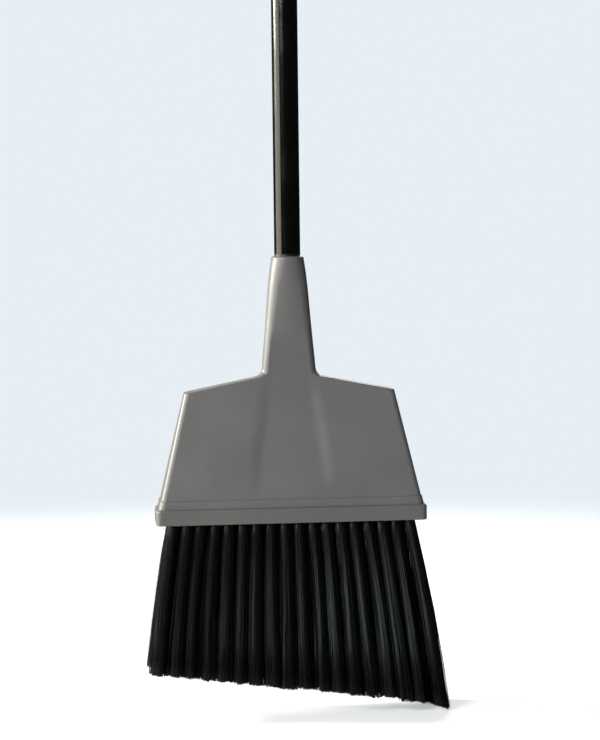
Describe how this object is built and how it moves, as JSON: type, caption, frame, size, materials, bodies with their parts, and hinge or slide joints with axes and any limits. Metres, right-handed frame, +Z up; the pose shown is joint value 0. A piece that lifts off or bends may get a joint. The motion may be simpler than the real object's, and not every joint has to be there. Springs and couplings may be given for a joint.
{
  "type": "angle broom",
  "caption": "Upright broom with a slanted, fanned brush of stiff black tufts under a grey moulded head, and a straight black handle that screws into the head's socket.",
  "frame": {"origin": "on the floor under the handle's axis, level with the lowest bristle tip", "axes": "+Z up the handle, +X to the side with the longest bristles, -Y to the front"},
  "size_m": [0.2731, 0.0604, 1.4222],
  "materials": {
    "steel_tube": "thin-walled drawn tube",
    "black_vinyl": "glossy extruded vinyl",
    "black_nylon": "moulded, satin",
    "black_cap_plastic": "moulded, satin",
    "grey_shell_plastic": "moulded, satin",
    "grey_block_plastic": "moulded, matt",
    "zinc_screw": "zinc plated",
    "anchor_wire": "flat wire",
    "black_bristle": "smooth synthetic filament, lightly flagged tips"
  },
  "bodies": {
    "head": {"head_shell": "grey_shell_plastic", "tuft_block": "grey_block_plastic", "block_screws": "zinc_screw", "tuft_anchors": "anchor_wire", "bristle_row_front": "black_bristle", "bristle_row_middle": "black_bristle", "bristle_row_back": "black_bristle"},
    "handle": {"handle_tube": "steel_tube", "handle_sleeve": "black_vinyl", "threaded_tip": "black_nylon", "hang_cap": "black_cap_plastic"}
  },
  "joints": [
    {"name": "handle_unscrew", "type": "slide", "parent": "head", "child": "handle", "axis": [0, 0, 1], "range_m": [0, 0.05]}
  ]
}
